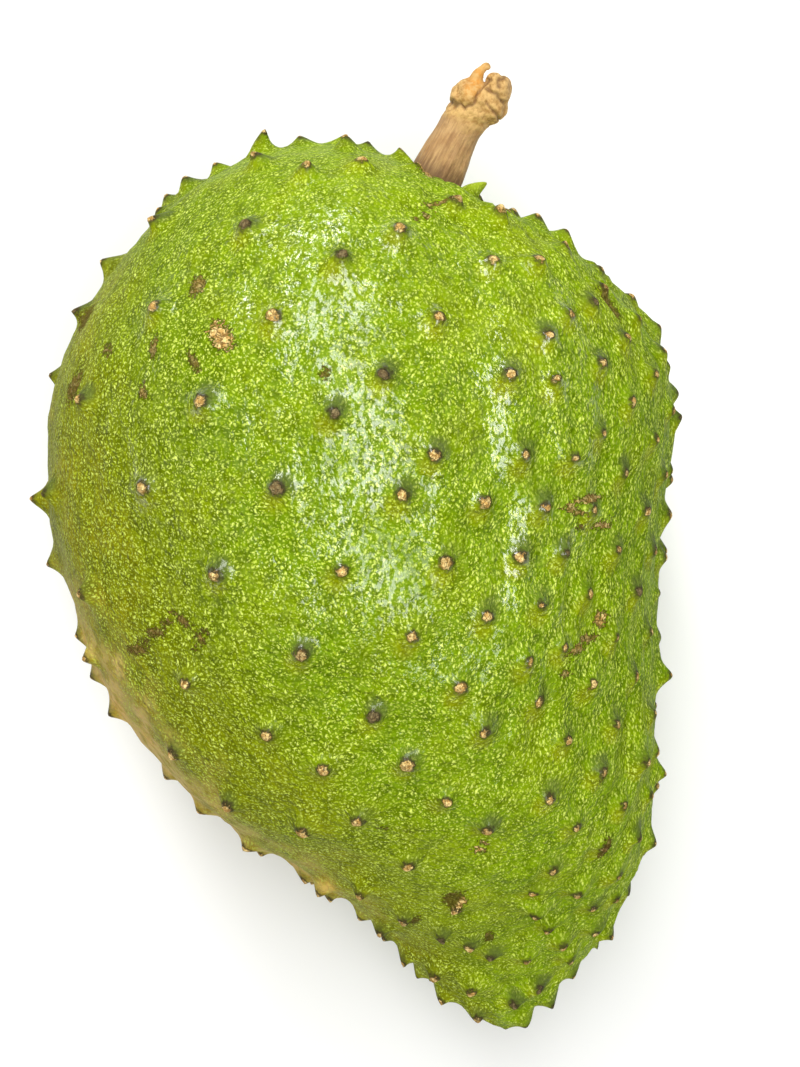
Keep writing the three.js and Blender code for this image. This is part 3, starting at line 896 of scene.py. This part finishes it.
def lump(centre, halves, rings=16, sides=24):
    """An egg: a half circle of latitudes turned round the stem's own direction."""
    level = unit(np.cross(STEM_FORWARD, [0, 0, 1]))
    axes = np.stack([level, STEM_FORWARD, np.cross(level, STEM_FORWARD)])
    latitude = np.linspace(0, math.pi, rings + 2)[1:-1, None]
    turn = np.linspace(0, 2 * math.pi, sides, endpoint=False)[None]
    egg = np.stack([np.sin(latitude) * np.cos(turn) * halves[0], -np.cos(latitude) * halves[1] + 0 * turn,
                    np.sin(latitude) * np.sin(turn) * halves[2]], axis=-1) @ axes
    pole = axes[1] * halves[1]
    return closed_rings(np.array(centre) - pole, egg + centre, np.array(centre) + pole)


def melt(name, shells, voxel):
    """Puts closed shells into one mesh and remeshes it into a single skin, in millimetres."""
    points, faces = [], []
    for shell_points, shell_faces in shells:
        faces += [[corner + len(points) for corner in face] for face in shell_faces]
        points += shell_points.tolist()
    mesh = bpy.data.meshes.new(name)
    mesh.from_pydata(points, [], faces)
    rough = new_object(name + "_rough", mesh)
    modifier = rough.modifiers.new("melt", "REMESH")
    modifier.mode = "VOXEL"
    modifier.voxel_size = voxel
    smoother = rough.modifiers.new("smooth", "SMOOTH")
    smoother.iterations = 6
    bpy.context.view_layer.update()
    evaluated = rough.evaluated_get(bpy.context.evaluated_depsgraph_get())
    melted = bpy.data.meshes.new_from_object(evaluated)
    bpy.data.objects.remove(rough)
    melted.name = name
    return melted


shells = [tube(STEM_LINE, STEM_RADII, 24, 28), tube(SPLINTER_LINE, SPLINTER_RADII, 16, 14)]
shells += [lump(centre, halves) for centre, halves in STEM_LUMPS]
stem_mesh = melt("woody_stem", shells, VOXEL)
print("stem mesh:", len(stem_mesh.vertices), "points,", len(stem_mesh.polygons), "faces")

# %% [markdown]
# ## Fibres and cracks of the stem
# The bark of the stalk is drawn out into fine lengthwise fibres, and it cracked where the knot begins and
# where it split. Fibres are waves that change quickly round the stem and slowly along it. A crack is a
# narrow groove along a short line, as seen from above.

# %% Carving the stem
KNOT_START = 19.0     # millimetres along the stem from its foot
CRACK_WIDTH = 0.4
CRACKS = [   # from x, y to x, y, and how deep
    ((18.5, 92.3), (22.4, 89.0), 0.5), ((22.4, 89.0), (25.0, 90.6), 0.35), ((25.0, 90.6), (27.9, 95.6), 0.6),
    ((27.5, 90.2), (31.0, 86.8), 0.55), ((28.0, 93.4), (31.2, 90.6), 0.45), ((30.0, 93.6), (31.6, 96.8), 0.3)]


def distance_to_line(points, start, end):
    """How far each point is from a straight line between two places, all seen from above. The nearest
    place on the line is the share (point - start) . (end - start) / length squared, kept within 0 to 1."""
    start, step = np.array(start), np.subtract(end, start)
    share = np.clip((points - start) @ step / (step @ step), 0, 1)
    return np.linalg.norm(points - start - share[:, None] * step, axis=1)


stem_places = rows_of(stem_mesh.vertices)
stem_normals = rows_of(stem_mesh.vertex_normals, "vector")
stem_along = (stem_places - np.array(STEM_LINE[0])) @ STEM_FORWARD
stretched = stem_places - np.outer(stem_along * 0.86, STEM_FORWARD)
knot = smooth_between(stem_along + 0.6 * waves(stem_places, 5, 7), KNOT_START, KNOT_START + 2.5)
fibres = 0.09 * waves(stretched, 1.3, 8) + 0.10 * waves(stretched, 3.4, 9)
crumbs = 0.16 * waves(stem_places, 3.4, 10) + 0.05 * waves(stem_places, 1.1, 11)
carving = fibres * (1 - knot) + crumbs * knot
wander = 0.35 * np.stack([waves(stem_places, 3, 12), waves(stem_places, 3, 13)], axis=1)
seen_from_above = stem_places[:, :2] + wander
cracks = np.zeros(len(stem_places))
for start, end, depth in CRACKS:
    bell = np.exp(-(distance_to_line(seen_from_above, start, end) / CRACK_WIDTH) ** 2)
    carving -= depth * bell
    cracks = np.maximum(cracks, bell)
stem_places += stem_normals * carving[:, None]
put_points(stem_mesh, stem_places)
splinter_gap = distance_to_line(stem_places[:, :2], SPLINTER_LINE[0][:2], SPLINTER_LINE[2][:2])
golden = np.exp(-(splinter_gap / 1.8) ** 2)
for name, values in {"stem_along": stem_along, "knot": knot, "crack": cracks, "golden": golden}.items():
    add_attribute(stem_mesh, name, values)
print("stem, mm:", stem_places.min(0).round(1), "to", stem_places.max(0).round(1))

# %% [markdown]
# ## The stem's finish
# The stalk is brown with darker fibres, and darkest at its foot, where it leaves the fruit. The wrinkled
# knot is tan and the splinter golden. Fibres follow the stem because the coordinates are squeezed along it.

# %% The stem material
STALK_LIGHT = from_screen(204, 164, 112)
STALK_DARK = from_screen(166, 128, 84)
KNOT_LIGHT = from_screen(212, 172, 108)
KNOT_DARK = from_screen(172, 130, 72)
SPLINTER_GOLD = from_screen(222, 152, 62)
FOOT_DARK = from_screen(96, 66, 46)
CRACK_DARK = from_screen(96, 66, 42)
BLOTCH = np.array([0.84, 0.78, 0.74])      # what a dark blotch leaves of each colour


def stem_material():
    """Fibre noise on coordinates with the stem's length squeezed, wrinkles on the knot, dark cracks."""
    material, tree, place = new_material("dry_stalk")
    forward = tuple(float(c) for c in STEM_FORWARD)
    length = vector(tree, "DOT_PRODUCT", place, forward, output="Value")
    fibre_place = vector(tree, "SUBTRACT", place, scaled(tree, forward, product(tree, length, 0.88)))
    fibre = noise(tree, fibre_place, 1.7, detail=4.0, roughness=0.65)
    blotch = noise(tree, place, 0.3, detail=3.0)
    stalk = mix_colours(tree, soft_step(tree, fibre, 0.3, 0.7), STALK_DARK, STALK_LIGHT)
    stalk = mix_colours(tree, soft_step(tree, blotch, 0.4, 0.68), stalk, BLOTCH, "MULTIPLY")
    wrinkles = noise(tree, place, 0.9, detail=4.0, roughness=0.6)
    knot_colour = mix_colours(tree, soft_step(tree, wrinkles, 0.35, 0.6), KNOT_DARK, KNOT_LIGHT)
    golden = product(tree, attribute(tree, "golden"), soft_step(tree, wrinkles, 0.75, 0.3), 0.9)
    knot_colour = mix_colours(tree, golden, knot_colour, SPLINTER_GOLD)
    colour = mix_colours(tree, attribute(tree, "knot"), stalk, knot_colour)
    colour = mix_colours(tree, product(tree, attribute(tree, "crack"), 0.7), colour, CRACK_DARK)
    height_up = total(tree, attribute(tree, "stem_along"), product(tree, fibre, 4))
    foot = soft_step(tree, height_up, 14.5, 9.5)
    colour = mix_colours(tree, product(tree, foot, 0.7), colour, FOOT_DARK)
    height = total(tree, product(tree, fibre, 0.2), product(tree, wrinkles, 0.3))
    finish_shader(tree, {
        "Base Color": colour, "Roughness": total(tree, 0.55, product(tree, fibre, 0.3)),
        "Specular IOR Level": 0.3, "Normal": relief(tree, height)})
    return material


woody_stem = new_object("woody_stem", stem_mesh)
stem_mesh.materials.clear()
stem_mesh.materials.append(stem_material())
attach(woody_stem, "root")
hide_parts("stem")
print("stem painted:", stem_mesh.materials[0].name)

# %% [markdown]
# ## The table
# A plain pale floor under the fruit catches a soft shadow and throws light back up at its flanks.

# %% The floor
FLOOR_SIZE = 4.0
FLOOR_GAP = 0.0005      # the floor lies this far below the fruit's rest spot
FLOOR_COLOUR = (0.93, 0.93, 0.92, 1)
FLOOR_ROUGHNESS = 0.7
floor_mesh = bpy.data.meshes.new("floor")
half = FLOOR_SIZE / 2
corners = [(-half, -half, 0), (half, -half, 0), (half, half, 0), (-half, half, 0)]
floor_mesh.from_pydata(corners, [], [(0, 1, 2, 3)])
floor = new_object("floor", floor_mesh)
floor.location.z = -FLOOR_GAP
floor_paint, floor_tree, _ = new_material("pale_table")
finish_shader(floor_tree, {"Base Color": FLOOR_COLOUR, "Roughness": FLOOR_ROUGHNESS})
floor_mesh.materials.append(floor_paint)
print("floor laid")

# %% [markdown]
# ## Light
# A wide soft light hangs over the fruit and lays the broad broken sheen on its ridge. A smaller one beyond
# the stem does the same for the left shoulder, and the sky all round is pale and lifts the shadows.

# %% Lights and sky
LAMPS = {   # place and size in metres, turn in degrees, power in watts
    "softbox": ((0.03, 0.10, 1.05), (0.42, 1.6), 16, 15.0),
    "window": ((-0.30, 0.92, 0.62), (0.30, 0.50), 14, 7.5)}
SKY_COLOUR = (1.0, 1.0, 0.98, 1)
SKY_STRENGTH = 0.22


def soft_light(name, place, size, turn, energy):
    """A rectangular light at a place in metres, facing down, turned about the upright axis."""
    lamp = bpy.data.lights.new(name, "AREA")
    lamp.shape = "RECTANGLE"
    lamp.size, lamp.size_y = size
    lamp.energy = energy
    holder = new_object(name, lamp)
    holder.location = place
    holder.rotation_euler.z = math.radians(turn)


for name, numbers in LAMPS.items():
    soft_light(name, *numbers)
sky = bpy.data.worlds.new("studio")
sky.use_nodes = True
background = sky.node_tree.nodes["Background"]
background.inputs["Color"].default_value = SKY_COLOUR
background.inputs["Strength"].default_value = SKY_STRENGTH
bpy.context.scene.world = sky
bpy.context.scene.view_settings.view_transform = "Standard"

# %% [markdown]
# ## Camera
# The camera looks straight down from about half a metre above the level of the stem, which is at the top
# of the picture.

# %% The camera
CAMERA_PLACE = (0.0089, -0.0030, 0.562)
SENSOR_HEIGHT = 36      # millimetres, as is the lens
LENS = 76
camera_data = bpy.data.cameras.new("camera")
camera_data.sensor_fit = "VERTICAL"
camera_data.sensor_height = SENSOR_HEIGHT
camera_data.lens = LENS
camera = new_object("camera", camera_data)
camera.location = CAMERA_PLACE
bpy.context.scene.camera = camera
print("camera above the table, m:", CAMERA_PLACE[2])
